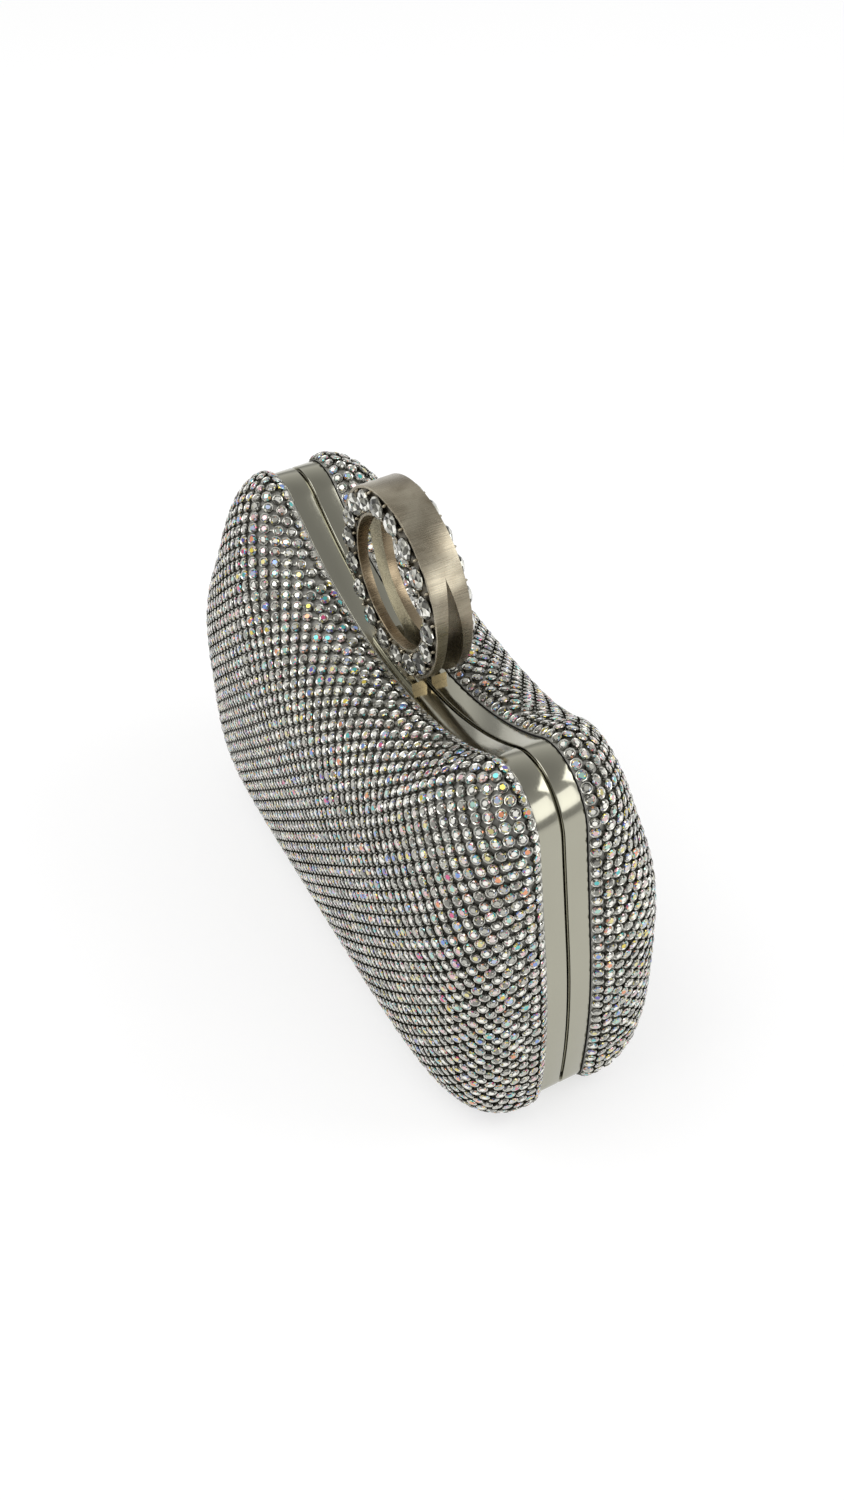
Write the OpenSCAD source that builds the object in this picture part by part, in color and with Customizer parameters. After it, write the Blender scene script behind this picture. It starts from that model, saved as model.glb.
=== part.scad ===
// Minaudiere with a ring clasp: two domed hard shells in metal half frames, hinged along the bottom.
// Millimetres. X runs along the width, -Y is the front, +Z is up. The origin is on the resting plane,
// under the middle of the case. The front half swings forward about the hinge; the back half stays.

/* [Case outline] */
// Height of the frame at the lowest point of the saddle
saddle_h = 82; // [76:1:88]
// Radius of the saddle along the top
saddle_r = 84; // [78:1:92]
// Half sweep of the saddle, degrees
saddle_deg = 35; // [30:1:37]
// Radius of the crest beside the saddle
crest_r = 11.2; // [10:0.2:14]
// Sweep of the crest past level, degrees
crest_deg = 48; // [44:1:52]
// Radius of the shoulder between crest and side
shoulder_r = 16; // [13:0.5:19]
// Lean of the sides, wider going down, degrees
lean_deg = 7.8; // [5:0.2:10]
// Radius of the bow low on the sides
side_r = 197; // [170:1:230]
// Sweep of that bow, degrees
side_deg = 14; // [11:0.5:16]
// Radius of the bottom corners
corner_r = 7.8; // [7:0.2:11]

/* [Half frames] */
// Distance of each frame's outer edge from the parting plane
band_y = 5.5; // [5:0.1:7]
// Gap between the two frames
frame_gap = 0.9; // [0.5:0.1:1.4]
// Thickness of the band
band_t = 1; // [0.8:0.1:1.2]
// Distance of the inner flange from the parting plane
flange_y = 2; // [1.8:0.1:2.3]
// Thickness of the inner flange
flange_t = 0.8; // [0.6:0.1:1]
// How far inside the outline the flange reaches
flange_in = 2.9; // [2.5:0.1:3.4]

/* [Domes] */
// Depth of each dome beyond its frame, over the crystals
dome_d = 25.5; // [20:0.5:32]
// How far the crystals stand out from the frame
crystal_h = 1.8; // [1.5:0.1:2.2]
// Thickness of the crystal mesh
mesh_t = 1.6; // [1.2:0.1:1.8]
// Wall of the hard shell
shell_t = 1.2; // [0.9:0.1:1.4]
// Thickness of the foam padding
padding_t = 1.1; // [0.8:0.1:1.3]
// Thickness of the lining cloth and its card
lining_t = 0.8; // [0.6:0.1:1]
// Glue line between the layers
glue_t = 0.12; // [0.08:0.01:0.16]
// Height cut off the lowest crystals, which gives the flat the case stands on
stand_cut = 0.3; // [0.2:0.05:0.4]

/* [Hinges] */
// Distance of each hinge from the middle
hinge_x = 38; // [28:1:44]
// Length of each hinge
hinge_l = 24; // [20:1:30]
// Outer radius of a knuckle
knuckle_r = 1.3; // [1.2:0.05:1.35]
// Radius of the hinge pin
pin_r = 0.6; // [0.5:0.05:0.7]
// Radial clearance of the pin in the knuckles
pin_clear = 0.05; // [0.03:0.01:0.08]
// Thickness of a hinge leaf
leaf_t = 0.7; // [0.6:0.05:0.8]
// Height of a hinge leaf above the bottom of the frame
leaf_h = 6.6; // [6:0.1:7.5]
// Radius of a rivet
rivet_r = 0.7; // [0.5:0.05:0.8]

/* [Ring clasp] */
// Outer radius of the ring
ring_r = 22; // [20:0.5:24]
// Width of the ring's face, from the finger hole to the outside
ring_w = 6.8; // [6.4:0.1:7.2]
// Distance of each face of the ring from the parting plane
ring_y = 4.3; // [4:0.1:5]
// Height of the neck between the frame and the ring
neck_h = 2.9; // [2.2:0.1:5]
// Gap between the two halves of the ring
ring_gap = 0.1; // [0.06:0.01:0.16]
// Width of the thin rims beside the stones
rim_w = 0.75; // [0.6:0.05:0.9]
// Depth of the channel that holds the stones
channel_d = 0.6; // [0.4:0.05:0.8]
// Number of stones in each face
stone_count = 18; // [12:1:18]
// Half width of the leaf-shaped opening at its widest
slit_w = 2.05; // [1.6:0.05:2.3]
// Height of the opening's point above the ring's middle
slit_top = 12.6; // [8:0.2:14]
// Height of the opening's widest place below the ring's middle
slit_low = 7.5; // [4:0.5:10]
// Length of the neck under each half of the ring
neck_l = 13; // [11:0.5:16]
// Length of the foot plate under each neck
foot_l = 19.5; // [17:0.5:24]
// Thickness of the foot plate
foot_t = 2; // [1.6:0.1:2.3]
// Radius of the snap stud
stud_r = 0.85; // [0.7:0.05:1]

/* [Hidden] */

// Steps along each stretch of the outline: saddle, crest, shoulder, straight, bow, corner, bottom
FINE = [12, 14, 6, 2, 6, 10, 5];
COARSE = [8, 7, 3, 2, 4, 5, 4];
// Steps up the dome, degrees of its profile
LEVELS = [0, 12, 26, 40, 53, 65, 75, 83];
round_fn = 48;
cut_over = 1;

// The dome's profile is a superellipse, whose level lines change from the frame's outline
// to the broad, even outline of the face
profile_out = 3.2;
profile_up = 3.2;
face_power = 4.5;
blend_power = 2.2;
face_w = 80;
face_top = 80;
face_bottom = -5;
core_w = 20;
core_h = 38;

// Clearances and small sizes of the frame
seat_gap = 0.12;
strip_gap = 0.25;
strip_t = 0.6;
strip_reach = 1;
strip_open_h = 8;

// Clearances and small sizes of the hinge
axis_drop = 0.1;
knuckle_gap = 0.3;
rivet_spread = 7;
rivet_h = 5;
rivet_head = 0.5;
rivet_head_t = 0.35;
pin_overhang = 0.3;
braze_gap = 0.03;
pad_side = 0.6;
pad_top = 0.2;

// Small sizes of the ring clasp
foot_y = 0.6;
foot_edge = 4.4;
spigot_r = 0.9;
spigot_x = 3.5;
spigot_clear = 0.05;
stone_side = 0.05;
pavilion_h = 0.85;
girdle_h = 0.3;
crown_h = 0.95;
culet_share = 0.5;
table_share = 0.55;
stud_out = 1.9;
stud_in = 2.1;
stud_neck = 0.12;
socket_r = 1.1;
socket_d = 2.3;
spring_r = 1.65;
spring_t = 0.7;
spring_clear = 0.07;
spring_split = 0.5;
spring_seat = 0.1;

base_z = crystal_h - stand_cut;
axis_z = base_z - axis_drop;
reach = 2 * saddle_r;
hole_r = ring_r - ring_w;
ring_up = ring_r + neck_h;
ring_z = base_z + saddle_h + ring_up;
stone_ring_r = ring_r - ring_w / 2;
stone_r = ring_w / 2 - rim_w - stone_side;
slit_r = (slit_w * slit_w + (slit_top + slit_low) * (slit_top + slit_low)) / (2 * slit_w);
tuck_off = band_t + seat_gap;
rim_y = flange_y + flange_t + seat_gap;
step_y = band_y + seat_gap;
lining_off = tuck_off + shell_t + glue_t;
spigot_y = (slit_w + ring_y) / 2;

function clamp(x, low, high) = min(max(x, low), high);
function last(a) = a[len(a) - 1];

// One arc of the outline from p, heading h, as points with their headings; a left turn has r > 0
function arc(p, r, sweep, n) =
    let (c = [p.x, p.y] + r * [-sin(p.z), cos(p.z)])
    [for (i = [1:n]) let (k = p.z + sign(r) * sweep * i / n)
        concat(c - r * [-sin(k), cos(k)], k)];

// A straight stretch from p along its heading
function run(p, length, n) =
    [for (i = [1:n]) [p.x + cos(p.z) * length * i / n, p.y + sin(p.z) * length * i / n, p.z]];

// The right half of the outline, from the middle of the saddle to the middle of the bottom
function right_half(n) =
    let (
        start = [0, saddle_h, 0],
        saddle = arc(start, saddle_r, saddle_deg, n[0]),
        crest = arc(last(saddle), -crest_r, saddle_deg + crest_deg, n[1]),
        shoulder = arc(last(crest), -shoulder_r, 90 - lean_deg - crest_deg, n[2]),
        h1 = last(shoulder).z,
        h2 = h1 - side_deg,
        drop = side_r * (cos(h2) - cos(h1)) - corner_r * (1 + cos(h2)),
        side = run(last(shoulder), (last(shoulder).y + drop) / -sin(h1), n[3]),
        bow = arc(last(side), -side_r, side_deg, n[4]),
        corner = arc(last(bow), -corner_r, 180 + h2, n[5]),
        bottom = run(last(corner), last(corner).x, n[6])
    )
    concat([start], saddle, crest, shoulder, side, bow, corner, bottom);

// The whole outline, moved inward by d
function outline(d, n) =
    let (right = [for (p = right_half(n)) [p.x + d * sin(p.z), p.y - d * cos(p.z) + base_z]])
    concat(right, [for (i = [len(right) - 2:-1:1]) [-right[i].x, right[i].y]]);

// Where the ray through p meets the outline of the face, t inside the crystals
function face_point(p, t) =
    let (
        middle = [0, base_z + (face_top + face_bottom) / 2],
        half_h = (face_top - face_bottom) / 2 - t,
        u = (p - middle) / norm(p - middle),
        far = pow(abs(u.x) / (face_w - t), face_power) + pow(abs(u.y) / half_h, face_power)
    )
    middle + u * pow(far, -1 / face_power);

// One level line of the dome, t inside the crystals, at the profile angle f
function level(t, f) =
    let (
        up = pow(sin(f), 2 / profile_up),
        out = pow(cos(f), 2 / profile_out),
        blend = pow(up, blend_power)
    )
    [for (p = outline(t - crystal_h, COARSE))
        let (
            core = [clamp(p.x, -core_w, core_w), base_z + core_h],
            q = core + (p + (face_point(p, t) - p) * blend - core) * out
        )
        [q.x, band_y + (dome_d - t) * up, q.y]];

// A level line of the straight rim, d inside the outline, at depth y
function rim(d, y) = [for (p = outline(d, COARSE)) [p.x, y, p.y]];

function dome(t, angles) = [for (f = angles) level(t, f)];

function lift(rings, y) = [for (ring = rings) [for (p = ring) [p.x, max(p.y, y), p.z]]];

function reverse(a) = [for (i = [len(a) - 1:-1:0]) a[i]];

// A thin dome: rings go up the outside, close over the face, and come down the inside.
// Both sides split their squares along the same diagonal, so neighbouring layers stay parallel.
module thin_dome(outside, inside) {
    rings = concat(outside, inside);
    n = len(rings[0]);
    top = len(outside) - 1;
    walls = [for (j = [0:len(rings) - 1], i = [0:n - 1])
        if (j != top)
            let (
                a = j * n,
                b = ((j + 1) % len(rings)) * n,
                k = (i + 1) % n
            )
            each j < top
                ? [[a + i, b + k, a + k], [a + i, b + i, b + k]]
                : [[a + i, b + i, a + k], [a + k, b + i, b + k]]];
    faces = concat(walls, [[for (i = [n - 1:-1:0]) top * n + i]], [[for (i = [0:n - 1]) (top + 1) * n + i]]);
    polyhedron([for (ring = rings) each ring], faces);
}

// What is drawn in X and Z becomes a slab from y0 to y1
module slab(y0, y1) {
    translate([0, y1, 0]) rotate([90, 0, 0]) linear_extrude(y1 - y0) children();
}

// The strip of the outline between two distances inside it
module outline_strip(d0, d1) {
    difference() {
        polygon(outline(d0, FINE));
        polygon(outline(d1, FINE));
    }
}

// A round bar along Y
module bar_y(r, y0, y1) {
    translate([0, y0, 0]) rotate([-90, 0, 0]) cylinder(r = r, h = y1 - y0, $fn = round_fn);
}

// A round bar along X, centred
module bar_x(r, l) {
    rotate([0, 90, 0]) cylinder(r = r, h = l, center = true, $fn = round_fn);
}

module front() {
    mirror([0, 1, 0]) children();
}

module at_hinges() {
    for (side = [-1, 1]) translate([side * hinge_x, 0, 0]) children();
}

module at_rivets() {
    at_hinges() for (side = [-1, 1]) translate([side * rivet_spread, 0, base_z + rivet_h]) children();
}

module at_spigots() {
    for (side = [-1, 1]) translate([side * spigot_x, spigot_y, 0]) children();
}

// One half frame: the band that shows, and the flange inside it that the shell's rim meets
module half_frame() {
    difference() {
        union() {
            slab(frame_gap / 2, band_y) outline_strip(0, band_t);
            slab(flange_y, flange_y + flange_t) outline_strip(band_t / 2, flange_in);
            at_hinges() slab(flange_y, flange_y + flange_t)
                translate([-hinge_l / 2 - pad_side, base_z + band_t / 2])
                    square([hinge_l + 2 * pad_side, leaf_h + pad_top - band_t / 2]);
        }
        at_hinges() translate([-hinge_l / 2 - knuckle_gap, 0, base_z - cut_over])
            cube([hinge_l + 2 * knuckle_gap, flange_y, band_t + cut_over + knuckle_gap]);
        at_rivets() bar_y(rivet_r + braze_gap, flange_y - cut_over, flange_y + flange_t + cut_over);
        at_spigots() translate([0, 0, base_z + saddle_h - flange_in])
            cylinder(r = spigot_r + spigot_clear, h = flange_in + cut_over, $fn = round_fn);
    }
}

module back_frame() {
    color("#9C9A8E") half_frame();
}

module front_frame() {
    color("#9C9A8E") front() half_frame();
}

// The strip spot welded inside the front frame, which enters the back frame and hides the gap
module closing_strip() {
    color("#8E8C82")
    intersection() {
        slab(-flange_y + seat_gap, strip_reach)
            outline_strip(band_t + strip_gap, band_t + strip_gap + strip_t);
        translate([-reach / 2, -band_y, base_z + strip_open_h])
            cube([reach, 2 * band_y, reach]);
    }
}

// A hard shell: its rim tucks under the band, and its dome stands over the band's edge
module half_shell() {
    outer_t = mesh_t + glue_t;
    thin_dome(
        concat([rim(tuck_off, rim_y), rim(tuck_off, step_y)], lift(dome(outer_t, LEVELS), step_y)),
        concat(lift(dome(outer_t + shell_t, reverse(LEVELS)), step_y + shell_t),
            [rim(tuck_off + shell_t, step_y + shell_t), rim(tuck_off + shell_t, rim_y)]));
}

module back_shell() {
    color("#3A3A3C") half_shell();
}

module front_shell() {
    color("#3A3A3C") front() half_shell();
}

// The sheet of crystals in metal cups, glued over the shell and ending at the band
module half_crystal_mesh() {
    intersection() {
        thin_dome(lift(dome(0, LEVELS), step_y), lift(dome(mesh_t, reverse(LEVELS)), step_y));
        translate([-reach / 2, 0, 0]) cube([reach, reach, reach]);
    }
}

module back_crystal_mesh() {
    color("#B9B8BE") half_crystal_mesh();
}

module front_crystal_mesh() {
    color("#B9B8BE") front() half_crystal_mesh();
}

// The thin foam between shell and lining
module half_padding() {
    outer_t = mesh_t + shell_t + 2 * glue_t;
    low_y = step_y + shell_t + glue_t;
    thin_dome(lift(dome(outer_t, LEVELS), low_y),
        lift(dome(outer_t + padding_t, reverse(LEVELS)), low_y));
}

module back_padding() {
    color("#D8D2C4") half_padding();
}

module front_padding() {
    color("#D8D2C4") front() half_padding();
}

// The lining: satin over thin card, its edge inside the shell's rim
module half_lining() {
    outer_t = mesh_t + shell_t + padding_t + 4 * glue_t;
    low_y = step_y + shell_t + 2 * glue_t;
    thin_dome(
        concat([rim(lining_off, rim_y)], lift(dome(outer_t, LEVELS), low_y)),
        concat(lift(dome(outer_t + lining_t, reverse(LEVELS)), low_y + lining_t),
            [rim(lining_off + lining_t, rim_y)]));
}

module back_lining() {
    color("#1B1A1E") half_lining();
}

module front_lining() {
    color("#1B1A1E") front() half_lining();
}

knuckle_l = (hinge_l - 2 * knuckle_gap) / 3;

// The hinge leaves of one half; its knuckles are in the given places of the three
module half_leaves(own, other) {
    leaf_y = flange_y - braze_gap - leaf_t;
    at_hinges() difference() {
        union() {
            translate([-hinge_l / 2, leaf_y, axis_z]) cube([hinge_l, leaf_t, leaf_h + axis_drop]);
            for (i = own) translate([(i - 1) * (knuckle_l + knuckle_gap), 0, axis_z]) {
                bar_x(knuckle_r, knuckle_l);
                translate([-knuckle_l / 2, 0, 0]) cube([knuckle_l, leaf_y + leaf_t / 2, knuckle_r]);
            }
        }
        for (i = other) translate([(i - 1) * (knuckle_l + knuckle_gap), 0, axis_z])
            bar_x(knuckle_r + knuckle_gap, knuckle_l + 2 * knuckle_gap);
        translate([0, 0, axis_z]) bar_x(pin_r + pin_clear, hinge_l + 2 * cut_over);
        for (side = [-1, 1]) translate([side * rivet_spread, 0, base_z + rivet_h])
            bar_y(rivet_r + braze_gap, leaf_y - cut_over, flange_y);
    }
}

module back_hinge_leaves() {
    color("#8A887E") half_leaves([0, 2], [1]);
}

module front_hinge_leaves() {
    color("#8A887E") front() half_leaves([1], [0, 2]);
}

module hinge_pins() {
    color("#77756C") at_hinges() translate([0, 0, axis_z]) bar_x(pin_r, hinge_l + 2 * pin_overhang);
}

// Rivets through leaf and flange, with a formed head on each end
module half_rivets() {
    near_y = flange_y - braze_gap - leaf_t;
    far_y = flange_y + flange_t;
    at_rivets() {
        bar_y(rivet_r, near_y - rivet_head_t, far_y + rivet_head_t);
        bar_y(rivet_r + rivet_head, near_y - rivet_head_t, near_y);
        bar_y(rivet_r + rivet_head, far_y, far_y + rivet_head_t);
    }
}

module back_rivets() {
    color("#77756C") half_rivets();
}

module front_rivets() {
    color("#77756C") front() half_rivets();
}

// The leaf-shaped opening between the halves of the ring, from its point down to the frame
module slit() {
    translate([0, slit_w - slit_r, ring_z - slit_low])
        rotate([0, 90, 0]) cylinder(r = slit_r, h = 3 * ring_r, center = true, $fn = 4 * round_fn);
    translate([-2 * ring_r, -cut_over, ring_z - slit_low - 2 * ring_r])
        cube([4 * ring_r, slit_w + cut_over, 2 * ring_r]);
}

// The foot plate: a strip that follows the saddle, brazed to the band
module foot_strip(outer, inner) {
    intersection() {
        difference() {
            polygon(outline(-outer, FINE));
            polygon(outline(-inner, FINE));
        }
        translate([-foot_l / 2, base_z + saddle_h / 2]) square([foot_l, saddle_h]);
    }
}

module half_foot() {
    difference() {
        slab(foot_y, foot_edge) foot_strip(foot_t, braze_gap);
        at_spigots() translate([0, 0, base_z + saddle_h - cut_over])
            cylinder(r = spigot_r + spigot_clear, h = foot_t + 2 * cut_over, $fn = round_fn);
    }
}

module back_ring_foot() {
    color("#C2B899") half_foot();
}

module front_ring_foot() {
    color("#C2B899") front() half_foot();
}

// Half of the ring, with its neck and the spigots brazed into the frame
module half_ring(bore_r, bore_d) {
    neck_z = base_z + saddle_h;
    difference() {
        union() {
            translate([0, 0, ring_z]) bar_y(ring_r, ring_gap / 2, ring_y);
            translate([-neck_l / 2, slit_w, neck_z])
                cube([neck_l, ring_y - slit_w, ring_w + neck_h]);
        }
        translate([0, 0, ring_z]) bar_y(hole_r, -cut_over, ring_y + cut_over);
        translate([0, 0, ring_z]) difference() {
            bar_y(ring_r - rim_w, ring_y - channel_d, ring_y + cut_over);
            bar_y(hole_r + rim_w, ring_y - channel_d - cut_over, ring_y + 2 * cut_over);
        }
        slit();
        slab(0, 2 * ring_y) polygon(outline(-foot_t - braze_gap, FINE));
        translate([0, 0, ring_z + stone_ring_r]) bar_y(bore_r, 0, bore_d);
        children();
    }
    at_spigots() translate([0, 0, neck_z - band_t + 2 * seat_gap])
        cylinder(r = spigot_r, h = band_t - 2 * seat_gap + foot_t + neck_h / 2, $fn = round_fn);
}

module back_ring() {
    color("#A7A193") half_ring(socket_r, socket_d)
        translate([0, 0, ring_z + stone_ring_r])
            bar_y(spring_r + spring_seat, 0, ring_gap / 2 + spring_t + 2 * spring_seat);
}

module front_ring() {
    color("#A7A193") front() half_ring(stud_r + 2 * braze_gap, ring_gap / 2 + stud_in + braze_gap);
}

// A turned stand-in for a cut stone, table outward along Y
module stone() {
    rotate([-90, 0, 0]) rotate_extrude($fn = round_fn) polygon([
        [0, 0], [stone_r * culet_share, 0], [stone_r, pavilion_h], [stone_r, pavilion_h + girdle_h],
        [stone_r * table_share, pavilion_h + girdle_h + crown_h], [0, pavilion_h + girdle_h + crown_h]]);
}

module half_stones() {
    for (i = [0:stone_count - 1])
        translate([0, ring_y - channel_d + braze_gap, ring_z])
            rotate([0, (i + 1 / 2) * 360 / stone_count, 0])
                translate([0, 0, stone_ring_r]) stone();
}

module back_ring_stones() {
    color("#E6E4DC") half_stones();
}

module front_ring_stones() {
    color("#E6E4DC") front() half_stones();
}

// The snap stud in the front half of the ring, with a groove behind its rounded nose
module snap_stud() {
    nose = ring_gap / 2 + spring_t;
    color("#77756C")
    translate([0, 0, ring_z + stone_ring_r]) rotate([-90, 0, 0]) rotate_extrude($fn = round_fn)
        polygon([
            [0, -stud_in], [stud_r, -stud_in], [stud_r, 0], [stud_r - stud_neck, spring_seat],
            [stud_r - stud_neck, nose], [stud_r, nose + 2 * stud_neck],
            [stud_r, stud_out - stud_r / 2], [stud_r / 2, stud_out], [0, stud_out]]);
}

// The split spring ring in the back half, which grips the stud
module snap_spring() {
    color("#77756C")
    translate([0, 0, ring_z + stone_ring_r]) difference() {
        bar_y(spring_r, ring_gap / 2 + spring_seat, ring_gap / 2 + spring_seat + spring_t);
        bar_y(stud_r + spring_clear, -cut_over, 2 * cut_over);
        translate([-spring_split / 2, -cut_over, 0]) cube([spring_split, 3 * cut_over, 2 * spring_r]);
    }
}

back_frame();
front_frame();
closing_strip();
back_shell();
front_shell();
back_crystal_mesh();
front_crystal_mesh();
back_padding();
front_padding();
back_lining();
front_lining();
back_hinge_leaves();
front_hinge_leaves();
hinge_pins();
back_rivets();
front_rivets();
back_ring();
front_ring();
back_ring_foot();
front_ring_foot();
back_ring_stones();
front_ring_stones();
snap_stud();
snap_spring();
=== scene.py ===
"""Looks of the minaudiere: domed shells set with crystals, metal half frames, a ring that parts."""

import math

import bmesh
import bpy
import numpy as np
from mathutils import Matrix, Vector
from mathutils.bvhtree import BVHTree
from mathutils.kdtree import KDTree


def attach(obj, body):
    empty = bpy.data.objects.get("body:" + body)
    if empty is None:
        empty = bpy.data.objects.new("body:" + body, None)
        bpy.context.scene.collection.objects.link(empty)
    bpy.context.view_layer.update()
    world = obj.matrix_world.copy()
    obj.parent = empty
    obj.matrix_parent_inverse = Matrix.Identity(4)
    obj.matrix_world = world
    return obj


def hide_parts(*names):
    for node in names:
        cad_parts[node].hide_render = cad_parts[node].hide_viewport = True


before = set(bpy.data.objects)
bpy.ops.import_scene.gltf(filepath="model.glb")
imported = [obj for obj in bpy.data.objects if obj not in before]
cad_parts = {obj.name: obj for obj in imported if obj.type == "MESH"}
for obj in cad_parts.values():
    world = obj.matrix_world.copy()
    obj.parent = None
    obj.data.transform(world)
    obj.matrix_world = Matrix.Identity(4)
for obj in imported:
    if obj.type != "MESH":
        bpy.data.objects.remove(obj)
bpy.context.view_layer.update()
draw = np.random.default_rng(11)
MM = 0.001
MERGE_MM = 0.0005

# Sizes of the case in millimetres, as in the part's source
SADDLE_H, SADDLE_R, SADDLE_DEG = 82, 84, 35
CREST_R, CREST_DEG = 11.2, 48
SHOULDER_R, LEAN_DEG = 16, 7.8
SIDE_R, SIDE_DEG = 197, 14
CORNER_R = 7.8
BASE_Z = 1.5
BAND_Y, BAND_T, GAP = 5.5, 1.0, 0.9
FLANGE_Y, FLANGE_T, FLANGE_IN = 2.0, 0.8, 2.9
DOME_D, CRYSTAL_H, PROFILE = 25.5, 1.8, 3.2
FACE_W, FACE_TOP, FACE_BOTTOM, FACE_POWER, BLEND_POWER = 80, 80, -5, 4.5, 2.2
CORE_W, CORE_H = 20, 38
SHELL_T, PADDING_T, LINING_T, MESH_T, GLUE = 1.2, 1.1, 0.8, 1.6, 0.12
SEAT = 0.12
HINGE_X, HINGE_L, KNUCKLE_GAP = 38, 24, 0.3
PAD_SIDE, PAD_LOW, PAD_HIGH = 0.6, 0.5, 6.8
NOTCH_LOW, NOTCH_HIGH, NOTCH_PAST = -1, 1.3, 1
STRIP_OUTER, STRIP_INNER, STRIP_Y, STRIP_LOW = 1.25, 1.85, -1.0, 8
RING_R, RING_W, NECK_H, RING_Y = 22, 6.8, 2.9, 4.3
RIM_W, CHANNEL_D, STONE_COUNT = 0.75, 0.6, 18
SLIT_W, SLIT_TOP, SLIT_LOW = 2.05, 12.6, 7.5
FOOT_L, FOOT_T, FOOT_NEAR, FOOT_FAR, FOOT_SEAT = 19.5, 2.0, 0.6, 4.4, 0.03
NECK_L = 13
RING_Z = BASE_Z + SADDLE_H + RING_R + NECK_H
HOLE_R = RING_R - RING_W
STONE_RING_R = RING_R - RING_W / 2
STONE_R = RING_W / 2 - RIM_W - 0.05
STEP_Y = BAND_Y + SEAT

# Crystals and their net, in millimetres
PITCH = 2.8
NET_DEPTH = 1.15
EDGE_PITCH, EDGE_IN, EDGE_DROP, EDGE_LEAN = 2.75, 1.15, 0.6, 0.5
EDGE_CLEAR, EDGE_BLEND = 2.15, 7
TILT = 0.045
CUPS_IN_LINK, LINK_DEPTH, LINK_MIN = 2.2, 0.85, 0.3
LAYER_LIFT = 0.02

# Angles up the profile of a dome at which its layers have a row of points, in degrees
ANGLES = [0, 2, 5, 9, 13, 18, 23, 28, 33, 38, 43, 48, 53, 58, 63, 67, 71, 75, 79, 83, 86]


# Outline of the frame

def list_stretches():
    """The right half of the outline, as stretches of (start, heading, radius, amount, steps).

    A positive radius turns left and 0 is straight. The amount is the sweep in degrees of an arc,
    or the length of a line.
    """
    made = []
    place = np.array([0.0, SADDLE_H])
    heading = 0.0

    def sideways():
        turn = math.radians(heading)
        return np.array([-math.sin(turn), math.cos(turn)])

    def add_arc(radius, sweep, steps):
        nonlocal place, heading
        made.append((place, heading, radius, sweep, steps))
        centre = place + radius * sideways()
        heading += math.copysign(sweep, radius)
        place = centre - radius * sideways()

    def add_line(length, steps):
        nonlocal place
        made.append((place, heading, 0, length, steps))
        turn = math.radians(heading)
        place = place + length * np.array([math.cos(turn), math.sin(turn)])

    add_arc(SADDLE_R, SADDLE_DEG, 24)
    add_arc(-CREST_R, SADDLE_DEG + CREST_DEG, 28)
    add_arc(-SHOULDER_R, 90 - LEAN_DEG - CREST_DEG, 12)
    steep, low = math.radians(heading), math.radians(heading - SIDE_DEG)
    drop = SIDE_R * (math.cos(low) - math.cos(steep)) - CORNER_R * (1 + math.cos(low))
    add_line((place[1] + drop) / -math.sin(steep), 3)
    add_arc(-SIDE_R, SIDE_DEG, 10)
    add_arc(-CORNER_R, 180 + heading, 16)
    add_line(place[0], 3)
    return made


STRETCHES = list_stretches()
LENGTHS = np.array([abs(s[2]) * math.radians(s[3]) if s[2] else s[3] for s in STRETCHES])


def outline(share, inset):
    """Points of the outline in X and Z, at shares of the way round from the saddle to the right."""
    share = np.mod(np.asarray(share, float), 1)
    right = share <= 0.5
    along = np.where(right, share, 1 - share) * 2 * LENGTHS.sum()
    ends = np.cumsum(LENGTHS)
    which = np.minimum(np.searchsorted(ends, along), len(ends) - 1)
    x, z = np.zeros(along.shape), np.zeros(along.shape)
    for i, (place, heading, radius, amount, _) in enumerate(STRETCHES):
        here = which == i
        part = (along[here] - ends[i] + LENGTHS[i]) / LENGTHS[i]
        k0 = math.radians(heading)
        if radius:
            k1 = np.radians(heading + math.copysign(amount, radius) * part)
            x[here] = place[0] - radius * math.sin(k0) + (radius + inset) * np.sin(k1)
            z[here] = place[1] + radius * math.cos(k0) - (radius + inset) * np.cos(k1)
        else:
            x[here] = place[0] + amount * part * math.cos(k0) + inset * math.sin(k0)
            z[here] = place[1] + amount * part * math.sin(k0) - inset * math.cos(k0)
    return np.stack([np.where(right, x, -x), z + BASE_Z], -1)


def dome(share, angle, depth, low_y=0):
    """Points of the dome, depth inside the crystals' tops, at angles up its profile."""
    angle = np.radians(np.asarray(angle, float))
    rim = outline(share, depth - CRYSTAL_H)
    middle = np.array([0, BASE_Z + (FACE_TOP + FACE_BOTTOM) / 2])
    u = (rim - middle) / np.linalg.norm(rim - middle, axis=-1, keepdims=True)
    half_w, half_h = FACE_W - depth, (FACE_TOP - FACE_BOTTOM) / 2 - depth
    far = np.abs(u[..., 0] / half_w) ** FACE_POWER + np.abs(u[..., 1] / half_h) ** FACE_POWER
    face = middle + u * far[..., None] ** (-1 / FACE_POWER)
    up = np.sin(angle) ** (2 / PROFILE)
    out = np.maximum(np.cos(angle), 0) ** (2 / PROFILE)
    core_x = np.clip(rim[..., 0], -CORE_W, CORE_W)
    core = np.stack([core_x, np.full(rim.shape[:-1], BASE_Z + CORE_H)], -1)
    edge = rim + (face - rim) * (up ** BLEND_POWER)[..., None]
    flat = core + (edge - core) * out[..., None]
    y = np.maximum(BAND_Y + (DOME_D - depth) * up, low_y)
    return np.stack([flat[..., 0], y, flat[..., 1]], -1)


# Making pieces

def feed(tree, node, inputs):
    """Sets a node's inputs. An input takes a value, or an output that is linked to it."""
    for name, value in inputs.items():
        if isinstance(value, bpy.types.NodeSocket):
            tree.links.new(value, node.inputs[name])
        else:
            node.inputs[name].default_value = value


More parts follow.
